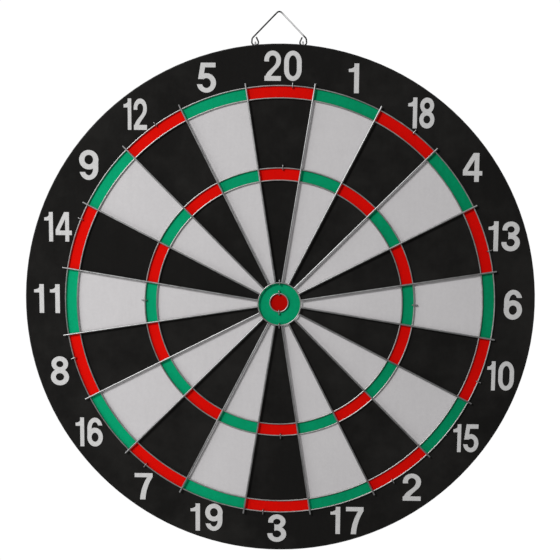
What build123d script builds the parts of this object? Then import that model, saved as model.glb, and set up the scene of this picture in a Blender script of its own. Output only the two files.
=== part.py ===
from build123d import *
from math import cos, radians, sin, sqrt, tan
import os

# Wound-paper dartboard: a flocked face, a raised wire spider and a swinging wire hanger.
#
# Frame: +Z is up, the disc's axis lies along Y and the playing face looks towards -Y.
# The origin is the centre of the flat back, which rests against the wall at y = 0.
# All lengths are in millimetres. On the face, angles run clockwise from the top.

# ---- driving dimensions: the board -------------------------------------------------------
board_diameter = 405.5
board_thickness = 17
edge_band_thickness = 0.8
edge_band_lap_width = 6
edge_band_lap_thickness = 0.4
edge_rounding = 0.4
face_sheet_thickness = 0.8
flock_height = 0.3
flock_gap = 0.2

# ---- driving dimensions: the playing geometry, measured between the wires -----------------
double_outer_radius = 170
double_inner_radius = 161.5
treble_outer_radius = 106.5
treble_inner_radius = 98
outer_bull_radius = 16.5
bullseye_radius = 6.8
sector_numbers = [20, 1, 18, 4, 13, 6, 10, 15, 2, 17, 3, 19, 7, 16, 8, 11, 14, 9, 12, 5]

# ---- driving dimensions: the spider -------------------------------------------------------
# The springy hoops stand a little off the flock between their staples. The spokes and the
# bull's two hoops each sit a little off the board's centre: (right, up).
spider_standoff = 0.4
ring_wire_diameter = 1
radial_wire_diameter = 1.4
radial_wire_overhang = 3.4
weld_bite = 0.05
spoke_centre = Vector(-0.6, 0.1)
outer_bull_centre = Vector(0.1, -0.2)
bullseye_centre = Vector(-0.2, 0.8)
staple_wire_diameter = 0.9
staple_crown = 4.6
staple_shift = 0.5
staple_leg_depth = 7
staple_bend_radius = 0.8
double_staple_angles = [3, 37.5, 75.2, 111, 147, 184, 219, 254.5, 292.7, 325]
treble_staple_angles = [1, 90, 179, 271]
bull_staple_angles = [0, 180]

# ---- driving dimensions: the numerals -----------------------------------------------------
# Every number was printed a little off its place, narrowed or widened to suit.
# number: (height, its digits' widths, the gap between them, shift right, shift up)
numeral_radius = 186.5
numeral_print = {
    20: (23, (13.1, 13.6), 2.4, 1.3, -0.8),
    1: (22.7, (8,), 0, -1.2, -0.9),
    18: (23.7, (6.9, 11.6), 1.9, -0.3, -0.6),
    4: (22.4, (15.6,), 0, -0.6, -1),
    13: (23.4, (7.7, 14.4), 2.7, -0.7, -2.6),
    6: (23.8, (14.6,), 0, -1.2, 0.9),
    10: (23.6, (6.4, 12.4), 2.5, 0, 1.2),
    15: (22.9, (6.2, 12.2), 1.9, 0.4, 2),
    2: (22.5, (14.9,), 0, -0.9, 2.2),
    17: (22.7, (7.9, 14.6), 4.4, -1, 0.1),
    3: (23, (15.3,), 0, -0.4, 2),
    19: (22.8, (7.7, 14.4), 4.3, -0.1, 1.3),
    7: (21.9, (15,), 0, 0.4, 0),
    16: (23.8, (6.9, 12.8), 2.3, -2.2, 3.3),
    8: (23.6, (14.6,), 0, 1.2, 1.3),
    11: (23.1, (7.8, 7.8), 4.9, 0.9, 2.1),
    14: (23.3, (6.8, 13.3), 1.8, 1.6, 1.8),
    9: (23.4, (15.4,), 0, 0.2, -1.4),
    12: (24.2, (6, 10.5), 1.8, -4.2, -3),
    5: (22.9, (14.9,), 0, -0.4, -1.1),
}

# ---- driving dimensions: the hanger -------------------------------------------------------
hanger_wire_diameter = 1.2
hanger_offset = -1.9
hanger_rise = 26.1
hanger_apex_bend = 2.6
hook_centre = 18.6
hook_clearance = 0.45
rim_staple_diameter = 1.2
rim_staple_crown = 7
rim_staple_rise = 3.1
rim_staple_depth = 12

# ---- values worked out from them ----------------------------------------------------------
board_radius = board_diameter / 2
core_radius = board_radius - edge_band_thickness
sector_angle = 360 / len(sector_numbers)
face_plane = Plane.XZ.offset(board_thickness)
flock_top = board_thickness + flock_height
ring_wire_radius = ring_wire_diameter / 2
radial_wire_radius = radial_wire_diameter / 2
ring_wire_level = flock_top + spider_standoff + ring_wire_radius
radial_wire_level = ring_wire_level + ring_wire_radius + radial_wire_radius - weld_bite
double_outer_line = double_outer_radius + ring_wire_radius
double_inner_line = double_inner_radius - ring_wire_radius
treble_outer_line = treble_outer_radius + ring_wire_radius
treble_inner_line = treble_inner_radius - ring_wire_radius
outer_bull_line = outer_bull_radius + ring_wire_radius
bullseye_line = bullseye_radius + ring_wire_radius

os.makedirs("parts", exist_ok=True)


def face_direction(angle):
    """Unit vector in the face, at an angle clockwise from the top."""
    return Vector(sin(radians(angle)), 0, cos(radians(angle)))


# ---- the board: coil, edge band and face sheet --------------------------------------------
with BuildPart() as paper_coil:
    with BuildSketch(Plane.XZ):
        Circle(core_radius - edge_band_lap_width)
    extrude(amount=edge_band_lap_thickness)
    with BuildSketch(Plane.XZ.offset(edge_band_lap_thickness)):
        Circle(core_radius)
    extrude(amount=board_thickness - face_sheet_thickness - edge_band_lap_thickness)
paper_coil.part.label = "paper_coil"
export_step(paper_coil.part, "parts/paper_coil.step")

with BuildPart() as edge_band:
    with BuildSketch(Plane.XZ):
        Circle(board_radius)
        Circle(core_radius - edge_band_lap_width, mode=Mode.SUBTRACT)
    extrude(amount=edge_band_lap_thickness)
    with BuildSketch(Plane.XZ):
        Circle(board_radius)
        Circle(core_radius, mode=Mode.SUBTRACT)
    extrude(amount=board_thickness)
    outer_rims = edge_band.edges().filter_by(GeomType.CIRCLE).group_by(SortBy.RADIUS)[-1]
    fillet(outer_rims, edge_rounding)
edge_band.part.label = "edge_band"
export_step(edge_band.part, "parts/edge_band.step")

with BuildPart() as front_face_sheet:
    with BuildSketch(Plane.XZ.offset(board_thickness - face_sheet_thickness)):
        Circle(core_radius)
    extrude(amount=face_sheet_thickness)
front_face_sheet.part.label = "front_face_sheet"
export_step(front_face_sheet.part, "parts/front_face_sheet.step")


# ---- the flocked colours ------------------------------------------------------------------
def flock_sectors(name, inner_line, outer_line, first_sector, inner_centre=(0, 0)):
    """Flock in every other sector between two ring wires, with a seam under each wire."""
    half_gap = flock_gap / 2
    half_angle = radians(sector_angle / 2)
    tip_setback = half_gap / sin(half_angle)
    reach = 1.2 * outer_line
    half_width = reach * tan(half_angle)
    with BuildPart() as flock:
        with BuildSketch(face_plane):
            first_angle = 90 - sector_angle * first_sector
            with Locations(spoke_centre):
                with PolarLocations(tip_setback, len(sector_numbers) // 2, first_angle):
                    Polygon((0, 0), (reach, -half_width), (reach, half_width), align=None)
            Circle(outer_line - half_gap, mode=Mode.INTERSECT)
            with Locations(inner_centre):
                Circle(inner_line + half_gap, mode=Mode.SUBTRACT)
        extrude(amount=flock_height)
    flock.part.label = name
    export_step(flock.part, f"parts/{name}.step")


flock_sectors("white_inner_singles", outer_bull_line, treble_inner_line, 1, outer_bull_centre)
flock_sectors("white_outer_singles", treble_outer_line, double_inner_line, 1)
flock_sectors("green_trebles", treble_inner_line, treble_outer_line, 1)
flock_sectors("green_doubles", double_inner_line, double_outer_line, 1)
flock_sectors("red_trebles", treble_inner_line, treble_outer_line, 0)
flock_sectors("red_doubles", double_inner_line, double_outer_line, 0)

with BuildPart() as green_outer_bull:
    with BuildSketch(face_plane):
        with Locations(outer_bull_centre):
            Circle(outer_bull_line - flock_gap / 2)
        with Locations(bullseye_centre):
            Circle(bullseye_line + flock_gap / 2, mode=Mode.SUBTRACT)
    extrude(amount=flock_height)
green_outer_bull.part.label = "green_outer_bull"
export_step(green_outer_bull.part, "parts/green_outer_bull.step")

with BuildPart() as red_bullseye:
    with BuildSketch(face_plane):
        with Locations(bullseye_centre):
            Circle(bullseye_line - flock_gap / 2)
    extrude(amount=flock_height)
red_bullseye.part.label = "red_bullseye"
export_step(red_bullseye.part, "parts/red_bullseye.step")


# ---- the numerals -------------------------------------------------------------------------
# Each digit is drawn 24 high with its lower left corner at the sketch's origin. The factor k
# narrows or widens it, strokes included, as printers condense a bold sans-serif figure.
drawn_height = 24
drawn_width = [15, 8, 15, 15.2, 17.4, 15.2, 15.4, 15.2, 15.2, 15.4]


def box(k, left, bottom, right, top, mode=Mode.ADD):
    """A rectangle between two corners."""
    with Locations((k * (left + right) / 2, (bottom + top) / 2)):
        Rectangle(k * (right - left), top - bottom, mode=mode)


def oval(k, x, y, half_width, half_height, mode=Mode.ADD):
    """An ellipse about a centre."""
    with Locations((k * x, y)):
        if k * half_width >= half_height:
            Ellipse(k * half_width, half_height, mode=mode)
        else:
            Ellipse(half_height, k * half_width, rotation=90, mode=mode)


def outline(k, points, mode=Mode.ADD):
    """A polygon through a few corners."""
    Polygon(*[(k * x, y) for x, y in points], align=None, mode=mode)


def draw_0(k):
    """A tall ring: two half ovals on straight sides."""
    for low, high, half_width, half_height, mode in (
        (9, 15, 7.5, 9, Mode.ADD),
        (9, 15, 3.4, 5.3, Mode.SUBTRACT),
    ):
        oval(k, 7.5, low, half_width, half_height, mode)
        oval(k, 7.5, high, half_width, half_height, mode)
        box(k, 7.5 - half_width, low, 7.5 + half_width, high, mode)


def draw_1(k):
    """A stem with a hooked flag."""
    with BuildLine() as flag:
        Bezier((0, 19.6), (k * 3.6, 19.7), (k * 4.7, 21.2), (k * 5, 24))
        Polyline((k * 5, 24), (k * 6, 24), (k * 6, 17.1), (0, 17.1), (0, 19.6))
    make_face(flag.line)
    box(k, 4.3, 0, 8, 24)


def draw_2(k):
    """A hook that runs down into a flat foot."""
    oval(k, 7.5, 16.6, 7.4, 7.4)
    oval(k, 7.5, 16.6, 3.3, 3.6, Mode.SUBTRACT)
    box(k, -1, 8, 7.5, 15.4, Mode.SUBTRACT)
    box(k, 7.5, 8, 16, 16.6, Mode.SUBTRACT)
    with BuildLine() as slant:
        Bezier((k * 14.9, 16.6), (k * 14.9, 10.6), (k * 9.6, 9.4), (k * 5.9, 3.6))
        Polyline((k * 5.9, 3.6), (k * 5.9, 0), (k * 0.3, 0))
        Bezier((k * 0.3, 0), (k * 0.9, 9.6), (k * 10.8, 9.6), (k * 10.8, 16.6))
        Line((k * 10.8, 16.6), (k * 14.9, 16.6))
    make_face(slant.line)
    box(k, 0.3, 0, 14.9, 3.8)


def draw_8(k):
    """Two rings, the upper one a little smaller."""
    oval(k, 7.6, 6.9, 7.6, 6.9)
    oval(k, 7.6, 17.8, 7, 6.2)
    oval(k, 7.6, 7, 3.5, 3.1, Mode.SUBTRACT)
    oval(k, 7.6, 17.6, 3, 2.6, Mode.SUBTRACT)


def draw_3(k):
    """The two rings of an 8, opened on the left down to a short middle bar."""
    draw_8(k)
    box(k, -1, 7.4, 5.6, 16.8, Mode.SUBTRACT)


def draw_4(k):
    """A closed 4: slanted side, crossbar and stem."""
    outline(k, [(0.4, 5.3), (17.2, 5.3), (17.2, 9), (14.4, 9), (14.4, 24), (9.4, 24), (0.4, 9.6)])
    outline(k, [(4.4, 9), (10.4, 9), (10.4, 18.4)], Mode.SUBTRACT)
    box(k, 10.4, 0, 14.4, 6)


def draw_5(k):
    """A bowl under a slightly leaning stem and a top bar."""
    oval(k, 7.5, 7.8, 7.6, 7.8)
    oval(k, 7.5, 7.7, 3.5, 4, Mode.SUBTRACT)
    box(k, -1, 6.7, 5, 16, Mode.SUBTRACT)
    outline(k, [(0.9, 10.9), (4.7, 10.9), (6.4, 20.3), (14.7, 20.3), (14.7, 24), (3, 24)])


def draw_9(k):
    """A round bowl on a tail that curls under to the left."""
    draw_0(k)
    box(k, -1, 6.4, 7.6, 25, Mode.SUBTRACT)
    box(k, 7, 16, 16, 25, Mode.SUBTRACT)
    oval(k, 7.6, 16.2, 7.6, 7.8)
    oval(k, 7.6, 16.3, 3.4, 3.8, Mode.SUBTRACT)


def draw_6(k):
    """A 9 turned upside down."""
    draw_9(k)


def draw_7(k):
    """A top bar with a stem that sweeps down to the left."""
    with BuildLine() as stem:
        Polyline((k * 10.6, 20.3), (k * 15.1, 20.6))
        ThreePointArc((k * 15.1, 20.6), (k * 10.9, 11), (k * 9.1, 0))
        Line((k * 9.1, 0), (k * 4.6, 0))
        ThreePointArc((k * 4.6, 0), (k * 6.6, 11), (k * 10.6, 20.3))
    make_face(stem.line)
    box(k, 0.3, 20.3, 15.1, 24)


draw_digit = [draw_0, draw_1, draw_2, draw_3, draw_4, draw_5, draw_6, draw_7, draw_8, draw_9]


def add_numeral(number, sector):
    """Extrude one number's digits, upright, at its sector."""
    height, widths, gap, shift_right, shift_up = numeral_print[number]
    centre = face_direction(sector_angle * sector) * numeral_radius
    left = centre.X + shift_right - (sum(widths) + gap * (len(widths) - 1)) / 2
    bottom = centre.Z + shift_up - height / 2
    size = height / drawn_height
    for character, width in zip(str(number), widths):
        digit = int(character)
        digit_plane = Plane(face_plane.from_local_coords((left, bottom, 0)), (1, 0, 0), (0, -1, 0))
        if digit == 6:
            digit_plane = Plane(
                face_plane.from_local_coords((left + width, bottom + height, 0)),
                (-1, 0, 0),
                (0, -1, 0),
            )
        with BuildSketch(digit_plane) as figure:
            draw_digit[digit](width / drawn_width[digit] / size)
            scale(by=size)
        extrude(figure.sketch, amount=flock_height)
        left += width + gap


with BuildPart() as white_numerals:
    for place, number in enumerate(sector_numbers):
        add_numeral(number, place)
white_numerals.part.label = "white_numerals"
export_step(white_numerals.part, "parts/white_numerals.step")


# ---- the spider's wires -------------------------------------------------------------------
def ring_wire(name, line_radius, level, centre=(0, 0)):
    """A wire hoop parallel to the face, its centre line at a level above the back."""
    with BuildPart(Plane.XZ.offset(level)) as ring:
        with Locations(centre):
            Torus(line_radius, ring_wire_radius)
    ring.part.label = name
    export_step(ring.part, f"parts/{name}.step")


ring_wire("double_outer_wire", double_outer_line, ring_wire_level)
ring_wire("double_inner_wire", double_inner_line, ring_wire_level)
ring_wire("treble_outer_wire", treble_outer_line, ring_wire_level)
ring_wire("treble_inner_wire", treble_inner_line, ring_wire_level)
ring_wire("outer_bull_wire", outer_bull_line, radial_wire_level, outer_bull_centre)
ring_wire("bullseye_wire", bullseye_line, ring_wire_level, bullseye_centre)


def radial_wire(name, angle):
    """A straight wire across the hoops, butted to the outer bull's and running past the doubles."""
    direction = face_direction(angle)
    middle = Vector(spoke_centre.X, -radial_wire_level, spoke_centre.Y)
    offset = middle - Vector(outer_bull_centre.X, -radial_wire_level, outer_bull_centre.Y)
    along = offset.dot(direction)
    weld_radius = outer_bull_line + ring_wire_radius - weld_bite
    start_radius = sqrt(weld_radius**2 - offset.length**2 + along**2) - along
    length = double_outer_line + radial_wire_overhang - start_radius
    start = middle + direction * start_radius
    with BuildPart() as wire:
        with BuildSketch(Plane(start, x_dir=(0, 1, 0), z_dir=direction)):
            Circle(radial_wire_radius)
        extrude(amount=length)
        outer_end = wire.edges().filter_by(GeomType.CIRCLE).sort_by_distance(middle)[-1]
        fillet(outer_end, radial_wire_radius / 3)
    wire.part.label = name
    export_step(wire.part, f"parts/{name}.step")


for place, number in enumerate(sector_numbers):
    next_number = sector_numbers[(place + 1) % len(sector_numbers)]
    radial_wire(f"radial_wire_{number}_{next_number}", sector_angle * (place + 0.5))


# ---- the spider's staples -----------------------------------------------------------------
def ring_staples(name, line_radius, hoop_level, angles, centre=Vector(0, 0)):
    """Staples driven into the face astride a hoop, each with its crown along a radius."""
    middle = Vector(centre.X, -board_thickness, centre.Y)
    wire_radius = staple_wire_diameter / 2
    half_crown = (staple_crown - staple_wire_diameter) / 2
    crown_height = hoop_level + ring_wire_radius + wire_radius - board_thickness
    with BuildPart() as staples:
        for angle in angles:
            outward = face_direction(angle)
            foot = middle + outward * (line_radius + staple_shift)
            across = Plane(foot, x_dir=outward, z_dir=outward.cross(Vector(0, -1, 0)))
            with BuildLine(across) as bend:
                FilletPolyline(
                    (-half_crown, -staple_leg_depth),
                    (-half_crown, crown_height),
                    (half_crown, crown_height),
                    (half_crown, -staple_leg_depth),
                    radius=staple_bend_radius,
                )
            with BuildSketch(Plane(bend.line @ 0, z_dir=bend.line % 0)):
                Circle(wire_radius)
            sweep()
    staples.part.label = name
    export_step(staples.part, f"parts/{name}.step")


ring_staples("double_ring_staples", double_outer_line, ring_wire_level, double_staple_angles)
ring_staples("treble_ring_staples", treble_outer_line, ring_wire_level, treble_staple_angles)
bull_hoops = {
    "outer_bull_staples": (outer_bull_line, radial_wire_level, outer_bull_centre),
    "bullseye_staples": (bullseye_line, ring_wire_level, bullseye_centre),
}
for name, (line_radius, hoop_level, centre) in bull_hoops.items():
    ring_staples(name, line_radius, hoop_level, bull_staple_angles, centre)

# ---- the hanger and its two rim staples ---------------------------------------------------
mid_plane = Plane.XZ.offset(board_thickness / 2)
hanger_wire_radius = hanger_wire_diameter / 2


def rim_height(x):
    """Height of the rim's top at a distance from the board's centre line."""
    return sqrt(board_radius**2 - x**2)


# The eyes' bottoms lie just above the rim; the joint's axis runs through them.
hook_bottom = rim_height(hook_centre) + hook_clearance + hanger_wire_radius
apex_corner = board_radius + hanger_rise + hanger_apex_bend * (sqrt(2) - 1)
right_half = [
    (hook_centre - 0.6, hook_bottom + 6.3),
    (hook_centre - 3.6, hook_bottom),
    (hook_centre + 3.2, hook_bottom),
    (hook_centre + 2.6, hook_bottom + 5.4),
]
corner_bends = [2.2, 2.5, 3]

with BuildPart() as hanger_wire:
    with BuildLine(mid_plane) as hanger_bend:
        right_side = [(hanger_offset + x, z) for x, z in right_half]
        left_side = [(hanger_offset - x, z) for x, z in reversed(right_half)]
        FilletPolyline(
            *right_side,
            (hanger_offset, apex_corner),
            *left_side,
            radius=[*corner_bends, hanger_apex_bend, *reversed(corner_bends)],
        )
    with BuildSketch(Plane(hanger_bend.line @ 0, z_dir=hanger_bend.line % 0)):
        Circle(hanger_wire_radius)
    sweep()
hanger_wire.part.label = "hanger_wire"
export_step(hanger_wire.part, "parts/hanger_wire.step")


def rim_staple(name, x):
    """A staple driven into the rim, bridging the hanger's eye along the board's thickness."""
    wire_radius = rim_staple_diameter / 2
    half_crown = (rim_staple_crown - rim_staple_diameter) / 2
    crown_height = rim_height(x) + rim_staple_rise
    foot_height = rim_height(x) - rim_staple_depth
    middle = Vector(x, -board_thickness / 2, 0)
    with BuildPart() as staple:
        with BuildLine(Plane(middle, x_dir=(0, 1, 0), z_dir=(1, 0, 0))) as bend:
            FilletPolyline(
                (-half_crown, foot_height),
                (-half_crown, crown_height),
                (half_crown, crown_height),
                (half_crown, foot_height),
                radius=1.1,
            )
        with BuildSketch(Plane(bend.line @ 0, z_dir=bend.line % 0)):
            Circle(wire_radius)
        sweep()
    staple.part.label = name
    export_step(staple.part, f"parts/{name}.step")


rim_staple("hanger_staple_left", hanger_offset - hook_centre)
rim_staple("hanger_staple_right", hanger_offset + hook_centre)
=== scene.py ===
"""Looks, light and camera for the wall dartboard.

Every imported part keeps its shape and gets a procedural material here: flocked card for the face,
drawn wire for the spider, staples and hanger, tape for the rim and wound paper for the back."""

import math

import bpy
from mathutils import Matrix, Vector


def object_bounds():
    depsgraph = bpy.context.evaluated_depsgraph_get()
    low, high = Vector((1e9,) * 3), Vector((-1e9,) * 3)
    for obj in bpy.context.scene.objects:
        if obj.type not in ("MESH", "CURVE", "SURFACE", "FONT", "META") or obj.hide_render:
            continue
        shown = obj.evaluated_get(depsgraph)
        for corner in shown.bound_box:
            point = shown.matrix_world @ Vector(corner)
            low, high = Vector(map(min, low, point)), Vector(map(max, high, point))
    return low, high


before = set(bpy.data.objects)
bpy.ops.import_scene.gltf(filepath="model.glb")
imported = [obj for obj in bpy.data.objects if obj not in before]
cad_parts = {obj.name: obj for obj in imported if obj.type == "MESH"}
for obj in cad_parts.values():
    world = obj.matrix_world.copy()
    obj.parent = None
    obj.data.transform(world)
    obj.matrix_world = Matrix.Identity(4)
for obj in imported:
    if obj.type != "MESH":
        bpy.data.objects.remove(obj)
cad_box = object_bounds()

# ---------------------------------------------------------------- measures
MM = 0.001

# camera at the viewing angle of the reference picture: lens and sensor in mm, angles in degrees
CAMERA_PLACE = (9.4 * MM, -650.1 * MM, 73.9 * MM)
CAMERA_LENS = 51.43
CAMERA_SENSOR = 36.0
CAMERA_DOWN = 4.974
CAMERA_YAW = 0.809
CAMERA_ROLL = 0.49
CAMERA_NEAREST = 0.01
CAMERA_FARTHEST = 40.0

# lamps: degrees off the face's normal, degrees left of up, distance and size in metres, watts
KEY_LIGHT = (45.0, 48.0, 2.2, 0.55, 34.0)
SIDE_LIGHT = (68.0, 100.0, 0.80, 0.70, 3.6)
BACK_LIGHT = (140.0, 30.0, 2.4, 1.0, 30.0)
WORLD_LEVEL = 0.20

# stage, in metres: how far it reaches, and how far its floor lies below the board
STAGE_REACH = 8.0
FLOOR_DROP = 0.35
FLOOR_OVERLAP = 0.01
BACKDROP_SIDES = 48
STAGE_TONE = (1.02, 1.02, 1.02)

# flock patterns, in repeats per metre
FIBRES = 2600.0
FIBRE_GAPS = 1500.0
CLUMPS = 420.0
PATCHES = 26.0
BRUSHED = (300.0, 1.0, 26.0)
WEAR = 7.0
WEAR_EDGES = 90.0
CARD_TONE = (0.02, 0.02, 0.02)

# wire patterns, per metre: draw lines across the wire and along it, zinc grain and dull areas.
# Along a hoop, the draw lines' length is per radian.
DRAW_LINES = 5200.0
DRAW_LENGTH = 60.0
DRAW_LENGTH_ROUND = 3.0
ZINC_GRAIN = 260.0
DULL_AREAS = 38.0
# how much rougher the dull areas and the hanger's stretch with the painted reflection are
DULL_ROUGHNESS = 0.16
REFLECTION_STRETCH_ROUGHNESS = 0.28
# the hanger's stretch with a painted reflection: from and to, right of the middle, and the height
# that it starts at
PAINTED_REFLECTION_STRETCH = (0.0, 17.2 * MM, 209.8 * MM)
# the pale colour painted on that stretch: a painted reflection
PAINTED_REFLECTION_TONE = (0.92, 0.92, 0.92)

# wound paper: the strip's pitch, its tone and batches per turn, and the rest per metre
STRIP_PITCH = 0.62 * MM
STRIP_TONE = 1.7
STRIP_BATCHES = 0.09
STRIP_WANDER = 30.0
STRIP_WANDER_TURNS = 1.6
PAPER_FUZZ = 1800.0
PAPER_DIRT = 14.0

# rim tape: creases round the rim per radian and then along the radius and the depth, per metre
CREASES_ROUND = 190.0
CREASES_OUT = 300.0
CREASES_DEEP = 60.0
TAPE_GRAIN = 1900.0
TAPE_SCUFFS = 70.0


# ---------------------------------------------------------------- node helpers
def new_material(name):
    """A material with an otherwise empty Principled tree: (material, tree, shader)."""
    material = bpy.data.materials.new(name)
    material.use_nodes = True
    tree = material.node_tree
    return material, tree, tree.nodes["Principled BSDF"]


def node(tree, kind, inputs, **settings):
    """A node of that kind. inputs maps a socket to a value or to another node's output."""
    made = tree.nodes.new("ShaderNode" + kind)
    for key, value in settings.items():
        setattr(made, key, value)
    for key, value in inputs.items():
        if isinstance(value, bpy.types.NodeSocket):
            tree.links.new(value, made.inputs[key])
        else:
            made.inputs[key].default_value = value
    return made


def maths(tree, operation, a, b=0.0):
    return node(tree, "Math", {0: a, 1: b}, operation=operation).outputs[0]


def weighted(tree, *parts):
    """The sum of (value, weight) pairs."""
    total = None
    for value, weight in parts:
        term = value if weight == 1.0 else maths(tree, "MULTIPLY", value, weight)
        total = term if total is None else maths(tree, "ADD", total, term)
    return total


def place(tree):
    """The surface point in the part's own frame, in metres."""
    return node(tree, "TexCoord", {}).outputs["Object"]


def polar(tree):
    """(distance from the board's axis, angle round it, depth) of the surface point."""
    x, y, z = node(tree, "SeparateXYZ", {0: place(tree)}).outputs
    squares = maths(tree, "ADD", maths(tree, "MULTIPLY", x, x), maths(tree, "MULTIPLY", z, z))
    return maths(tree, "SQRT", squares), maths(tree, "ARCTAN2", z, x), y


def stretched(tree, *axes):
    """A place to look a pattern up at, from three (coordinate, repeats) pairs."""
    scaled = {i: maths(tree, "MULTIPLY", *axis) for i, axis in enumerate(axes)}
    return node(tree, "CombineXYZ", scaled).outputs[0]


def noise(tree, where, scale, detail=2.0, roughness=0.5):
    inputs = {"Vector": where, "Scale": scale, "Detail": detail, "Roughness": roughness}
    return node(tree, "TexNoise", inputs).outputs["Fac"]


def noise_along(tree, distance, scale, detail):
    """Noise that changes only along one distance."""
    inputs = {"W": distance, "Scale": scale, "Detail": detail}
    return node(tree, "TexNoise", inputs, noise_dimensions="1D").outputs["Fac"]


def spread(tree, value, low, high, out_low=0.0, out_high=1.0):
    """value, stretched from low..high to out_low..out_high and cut off outside."""
    return node(tree, "MapRange", {0: value, 1: low, 2: high, 3: out_low, 4: out_high}).outputs[0]


def tint(tree, share, first, second):
    """first turning to second as share goes from 0 to 1."""
    made = node(tree, "Mix", {0: share}, data_type="RGBA")
    for socket, colour in ((made.inputs[6], first), (made.inputs[7], second)):
        if isinstance(colour, bpy.types.NodeSocket):
            tree.links.new(colour, socket)
        else:
            socket.default_value = (*colour, 1.0)
    return made.outputs[2]


def bump(tree, height, distance, strength, normal=None):
    inputs = {"Height": height, "Distance": distance, "Strength": strength}
    if normal is not None:
        inputs["Normal"] = normal
    return node(tree, "Bump", inputs).outputs["Normal"]


def finish_shader(tree, shader, **links):
    """Set the shader's sockets, named with _ for a space. A constant goes on the socket itself."""
    for key, value in links.items():
        socket = shader.inputs[key.replace("_", " ")]
        if isinstance(value, bpy.types.NodeSocket):
            tree.links.new(value, socket)
        else:
            socket.default_value = value


# ---------------------------------------------------------------- materials
def flock(name, deep, bright, sheen=0.0, speckle=0.0, paler_patch=None, painted_left_light=0.0):
    """Short nylon fibres on card: fine fibre noise, clumps, faint brushed patches, a soft sheen.

    speckle is how far the dark card shows between the fibres, and paler_patch is the colour of broad
    patches that wear has left paler. painted_left_light is painted light: how much brighter the
    colour is painted towards the left, for the lamps lighting the face more on the left."""
    material, tree, shader = new_material(name)
    at = place(tree)
    fibres = noise(tree, at, FIBRES, 3.0, 0.7)
    clumps = noise(tree, at, CLUMPS, 3.0, 0.6)
    patches = noise(tree, at, PATCHES, 3.0, 0.55)
    brushed_at = node(tree, "Mapping", {0: at, 3: BRUSHED}).outputs[0]
    brushed = noise(tree, brushed_at, 1.0, 3.0, 0.6)
    parts = [(fibres, 0.42), (clumps, 0.24), (patches, 0.2), (brushed, 0.14)]
    # painted light: the colour is painted brighter towards the left and darker towards the right,
    # for the lamps' light falling off across the face
    if painted_left_light:
        parts.append((node(tree, "SeparateXYZ", {0: at}).outputs[0], -painted_left_light))
    share = weighted(tree, *parts)
    colour = tint(tree, spread(tree, share, 0.3, 0.7), deep, bright)
    if speckle:
        gaps = noise(tree, at, FIBRE_GAPS, 2.0, 0.6)
        colour = tint(tree, spread(tree, gaps, 0.60, 0.72, 0.0, speckle), colour, CARD_TONE)
    if paler_patch:
        wear, edges = noise(tree, at, WEAR, 4.0, 0.6), noise(tree, at, WEAR_EDGES, 3.0, 0.6)
        paler_area = weighted(tree, (wear, 1.0), (edges, 0.35))
        colour = tint(tree, spread(tree, paler_area, 0.62, 0.9, 0.0, 0.6), colour, paler_patch)
    height = weighted(tree, (fibres, 1.0), (clumps, 0.6))
    finish_shader(
        tree,
        shader,
        Base_Color=colour,
        Roughness=spread(tree, clumps, 0.3, 0.7, 0.86, 0.97),
        Sheen_Weight=sheen,
        Sheen_Roughness=0.45,
        Specular_IOR_Level=0.06,
        Normal=bump(tree, height, 0.25 * MM, 0.55),
    )
    return material


def painted_reflection_share(tree, stretch):
    """1 on the stretch of wire with the painted reflection, 0 off it, with soft ends."""
    start, end, foot = stretch
    across, _, height = node(tree, "SeparateXYZ", {0: place(tree)}).outputs
    past_start = spread(tree, across, start - 2 * MM, start + 2 * MM)
    before_end = spread(tree, across, end - MM, end + MM, 1.0, 0.0)
    above_foot = spread(tree, height, foot - MM, foot + MM)
    return maths(tree, "MULTIPLY", maths(tree, "MULTIPLY", past_start, before_end), above_foot)


def wire(name, dull, bright, roughness, is_hoop=False, paler_area=None):
    """Drawn steel wire under a thin zinc coat, with draw lines that run round a hoop or outwards.

    paler_area is a stretch with a painted reflection: painted pale for the light it catches, and
    matt."""
    material, tree, shader = new_material(name)
    radius, angle, depth = polar(tree)
    if is_hoop:
        axes = ((angle, DRAW_LENGTH_ROUND), (radius, DRAW_LINES), (depth, DRAW_LINES))
    else:
        arc = maths(tree, "MULTIPLY", radius, angle)
        axes = ((radius, DRAW_LENGTH), (arc, DRAW_LINES), (depth, DRAW_LINES))
    at = place(tree)
    draw_lines = noise(tree, stretched(tree, *axes), 1.0, 2.0, 0.6)
    zinc = noise(tree, at, ZINC_GRAIN, 3.0, 0.6)
    dulled = noise(tree, at, DULL_AREAS, 2.0, 0.5)
    share = weighted(tree, (zinc, 0.5), (dulled, 0.5))
    colour = tint(tree, spread(tree, share, 0.35, 0.65), dull, bright)
    tarnish = weighted(tree, (share, 1.0), (draw_lines, 0.3))
    dullness = spread(tree, tarnish, 0.4, 0.9, roughness, roughness + DULL_ROUGHNESS)
    # painted reflection: the colour on this stretch is painted pale, for the bright look that the
    # hanger's right leg has where it catches the light
    if paler_area:
        paler_patch = painted_reflection_share(tree, paler_area)
        colour = tint(tree, paler_patch, colour, PAINTED_REFLECTION_TONE)
        dullness = weighted(tree, (dullness, 1.0), (paler_patch, REFLECTION_STRETCH_ROUGHNESS))
    zinc_bumps = bump(tree, zinc, 0.03 * MM, 0.4)
    finish_shader(
        tree,
        shader,
        Base_Color=colour,
        Metallic=1.0,
        Roughness=dullness,
        Normal=bump(tree, draw_lines, 0.02 * MM, 0.5, zinc_bumps),
    )
    return material


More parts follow.
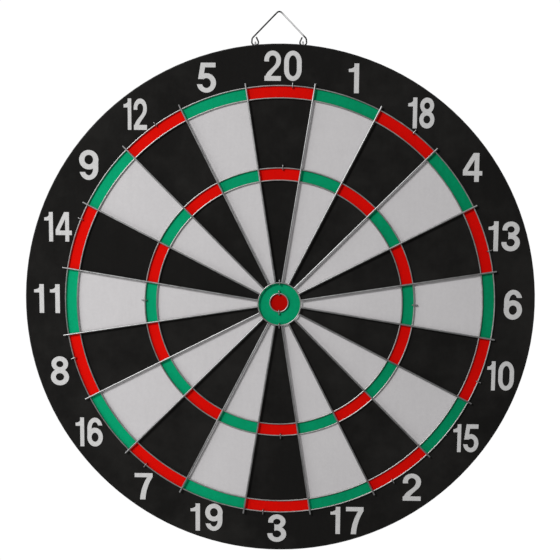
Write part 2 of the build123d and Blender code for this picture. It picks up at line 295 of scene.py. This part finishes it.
def wound_paper():
    """One paper strip wound into a flat coil: turn lines, tone along the strip, fuzz and dirt."""
    material, tree, shader = new_material("wound_paper_coil")
    radius, angle, _ = polar(tree)
    at = place(tree)
    turn = maths(tree, "DIVIDE", angle, 2 * math.pi)
    wander = maths(tree, "MULTIPLY", noise(tree, at, STRIP_WANDER), STRIP_WANDER_TURNS)
    turns_out = maths(tree, "SUBTRACT", maths(tree, "DIVIDE", radius, STRIP_PITCH), turn)
    winding = maths(tree, "ADD", turns_out, wander)
    across = maths(tree, "FRACT", winding)
    along = maths(tree, "ADD", maths(tree, "FLOOR", winding), turn)
    tone = noise_along(tree, along, STRIP_TONE, 2.0)
    batch = noise_along(tree, along, STRIP_BATCHES, 3.0)
    fuzz = noise(tree, at, PAPER_FUZZ, 3.0, 0.7)
    dirt = noise(tree, at, PAPER_DIRT, 4.0, 0.6)
    share = weighted(tree, (tone, 0.5), (batch, 0.5))
    colour = tint(tree, spread(tree, share, 0.3, 0.7), (0.18, 0.115, 0.062), (0.46, 0.33, 0.20))
    colour = tint(tree, spread(tree, fuzz, 0.45, 0.75, 0.0, 0.35), colour, (0.56, 0.44, 0.30))
    colour = tint(tree, spread(tree, dirt, 0.5, 0.75, 0.0, 0.35), colour, (0.12, 0.085, 0.055))
    off_middle = maths(tree, "ABSOLUTE", maths(tree, "SUBTRACT", across, 0.5))
    gap = spread(tree, maths(tree, "MULTIPLY", off_middle, 2.0), 0.72, 1.0)
    colour = tint(tree, maths(tree, "MULTIPLY", gap, 0.7), colour, (0.06, 0.038, 0.022))
    height = weighted(tree, (maths(tree, "SUBTRACT", tone, gap), 1.0), (fuzz, 0.5))
    finish_shader(
        tree,
        shader,
        Base_Color=colour,
        Roughness=spread(tree, fuzz, 0.3, 0.7, 0.82, 0.96),
        Specular_IOR_Level=0.25,
        Normal=bump(tree, height, 0.16 * MM, 0.7),
    )
    return material


def band_tape():
    """Black coated tape round the rim: faint creases across it, scuffed high spots, satin skin."""
    material, tree, shader = new_material("black_band_tape")
    radius, angle, depth = polar(tree)
    at = place(tree)
    creased_at = stretched(
        tree, (angle, CREASES_ROUND), (radius, CREASES_OUT), (depth, CREASES_DEEP)
    )
    creases = noise(tree, creased_at, 1.0, 3.0, 0.6)
    grain = noise(tree, at, TAPE_GRAIN, 2.0, 0.6)
    scuffs = spread(tree, noise(tree, at, TAPE_SCUFFS, 4.0, 0.7), 0.56, 0.72)
    black, soft_black = (0.009, 0.009, 0.0095), (0.016, 0.016, 0.0165)
    colour = tint(tree, spread(tree, creases, 0.3, 0.7), black, soft_black)
    colour = tint(tree, maths(tree, "MULTIPLY", scuffs, 0.4), colour, (0.045, 0.044, 0.043))
    satin = spread(tree, creases, 0.3, 0.7, 0.40, 0.50)
    finish_shader(
        tree,
        shader,
        Base_Color=colour,
        Roughness=weighted(tree, (satin, 1.0), (scuffs, 0.2)),
        Specular_IOR_Level=0.3,
        Normal=bump(tree, weighted(tree, (creases, 1.0), (grain, 0.35)), 0.08 * MM, 0.6),
    )
    return material


materials = {
    "black_flock": flock(
        "black_flock_face",
        (0.0066, 0.0063, 0.0060),
        (0.0128, 0.0122, 0.0115),
        sheen=0.02,
        paler_patch=(0.0250, 0.0240, 0.0225),
    ),
    "white_flock": flock(
        "white_flock_single", (0.535, 0.52, 0.527), (0.642, 0.626, 0.633), sheen=0.05
    ),
    "numeral_flock": flock(
        "white_print_numeral", (0.51, 0.505, 0.50), (0.69, 0.685, 0.68), sheen=0.05, speckle=0.55
    ),
    # the red and green beds get painted light: their colour is painted brighter towards the left
    "red_flock": flock("red_flock_bed", (0.58, 0.0018, 0.0006), (0.76, 0.0045, 0.0015), painted_left_light=0.6),
    "bull_red_flock": flock(
        "red_flock_bullseye", (0.37, 0.0011, 0.0004), (0.49, 0.0028, 0.0009)
    ),
    "green_flock": flock("green_flock_bed", (0.0006, 0.22, 0.092), (0.002, 0.36, 0.162), painted_left_light=1.0),
    # one wire makes the hoops and the spokes; the spokes' colour is painted darker: painted shade,
    # for the spokes catching less light
    "spider_hoop": wire(
        "zinc_wire_hoop", (0.40, 0.395, 0.39), (0.62, 0.61, 0.60), 0.40, is_hoop=True
    ),
    "spider_spoke": wire("zinc_wire_spoke", (0.34, 0.34, 0.34), (0.54, 0.54, 0.54), 0.38),
    "staple_wire": wire("zinc_wire_staple", (0.34, 0.33, 0.33), (0.54, 0.53, 0.53), 0.32),
    # the hanger's colour is painted near black: painted shade, for the dark reflections along its
    # wire; its right leg carries a painted reflection
    "hanger_wire": wire(
        "nickel_wire_hanger",
        (0.035, 0.035, 0.035),
        (0.075, 0.075, 0.075),
        0.24,
        paler_area=PAINTED_REFLECTION_STRETCH,
    ),
    "wound_paper": wound_paper(),
    "edge_band": band_tape(),
}

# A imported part's material has its record slot's name. The spider's two kinds of wire share a slot,
# and so do the red beds and the bullseye.
for name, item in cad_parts.items():
    slot = item.data.materials[0].name.split(".")[0]
    if slot == "spider_wire":
        slot = "spider_spoke" if name.startswith("radial_wire") else "spider_hoop"
    if name == "red_bullseye":
        slot = "bull_red_flock"
    item.data.materials[0] = materials[slot]


# ---------------------------------------------------------------- stage
def staged(name, corners, faces):
    """A plain pale surface that only the camera sees, so the light stays as the lamps give it."""
    mesh = bpy.data.meshes.new(name)
    mesh.from_pydata(corners, [], faces)
    made = bpy.data.objects.new(name, mesh)
    bpy.context.scene.collection.objects.link(made)
    material, tree, shader = new_material(name)
    finish_shader(
        tree,
        shader,
        Base_Color=(0.0, 0.0, 0.0, 1.0),
        Emission_Color=(*STAGE_TONE, 1.0),
        Emission_Strength=1.0,
        Specular_IOR_Level=0.0,
    )
    mesh.materials.append(material)
    for kind in ("diffuse", "glossy", "transmission", "volume_scatter", "shadow"):
        setattr(made, "visible_" + kind, False)


low = cad_box[0]
floor_level = low.z - FLOOR_DROP
floor_corners = [(-1, -1), (1, -1), (1, 1), (-1, 1)]
staged(
    "studio_floor",
    [(x * STAGE_REACH, y * STAGE_REACH, floor_level) for x, y in floor_corners],
    [(0, 1, 2, 3)],
)

# the backdrop is a closed ring of walls, which starts just under the floor, and a flat roof
sides = range(BACKDROP_SIDES)
wall_turns = [2 * math.pi * side / BACKDROP_SIDES for side in sides]
wall_corners = [
    (STAGE_REACH * math.cos(turn), STAGE_REACH * math.sin(turn), level)
    for level in (floor_level - FLOOR_OVERLAP, STAGE_REACH)
    for turn in wall_turns
]
wall_feet = [(side, (side + 1) % BACKDROP_SIDES) for side in sides]
walls = [(a, b, BACKDROP_SIDES + b, BACKDROP_SIDES + a) for a, b in wall_feet]
roof = tuple(BACKDROP_SIDES + side for side in sides)
staged("studio_backdrop", wall_corners, [*walls, roof])

# ---------------------------------------------------------------- light
world = bpy.data.worlds.new("studio")
bpy.context.scene.world = world
world.use_nodes = True
sky = world.node_tree.nodes["Background"]
sky.inputs["Color"].default_value = (1.0, 1.0, 1.0, 1.0)
sky.inputs["Strength"].default_value = WORLD_LEVEL

face_centre = Vector((0.0, low.y, 0.0))


def softbox(name, off_normal, left_of_up, distance, size, power):
    """A round soft lamp that points at the middle of the face."""
    off, turned = math.radians(off_normal), math.radians(left_of_up)
    sideways = math.sin(off)
    direction = Vector(
        (-sideways * math.sin(turned), -math.cos(off), sideways * math.cos(turned))
    )
    lamp = bpy.data.lights.new(name, "AREA")
    lamp.shape = "DISK"
    lamp.size = size
    lamp.energy = power
    made = bpy.data.objects.new(name, lamp)
    bpy.context.scene.collection.objects.link(made)
    made.location = face_centre + direction * distance
    made.rotation_mode = "QUATERNION"
    made.rotation_quaternion = direction.to_track_quat("Z", "Y")
    made.visible_camera = False
    return made


softbox("key_softbox", *KEY_LIGHT)
softbox("side_softbox", *SIDE_LIGHT).visible_glossy = False
softbox("back_softbox", *BACK_LIGHT).visible_glossy = False

# ---------------------------------------------------------------- camera
camera = bpy.data.objects.new("camera", bpy.data.cameras.new("camera"))
bpy.context.scene.collection.objects.link(camera)
bpy.context.scene.camera = camera
camera.data.sensor_width = CAMERA_SENSOR
camera.data.lens = CAMERA_LENS
camera.data.clip_start = CAMERA_NEAREST
camera.data.clip_end = CAMERA_FARTHEST
camera.matrix_world = (
    Matrix.Translation(CAMERA_PLACE)
    @ Matrix.Rotation(math.radians(CAMERA_YAW), 4, "Z")
    @ Matrix.Rotation(math.radians(90.0 - CAMERA_DOWN), 4, "X")
    @ Matrix.Rotation(math.radians(CAMERA_ROLL), 4, "Z")
)
bpy.context.scene.view_settings.view_transform = "Standard"
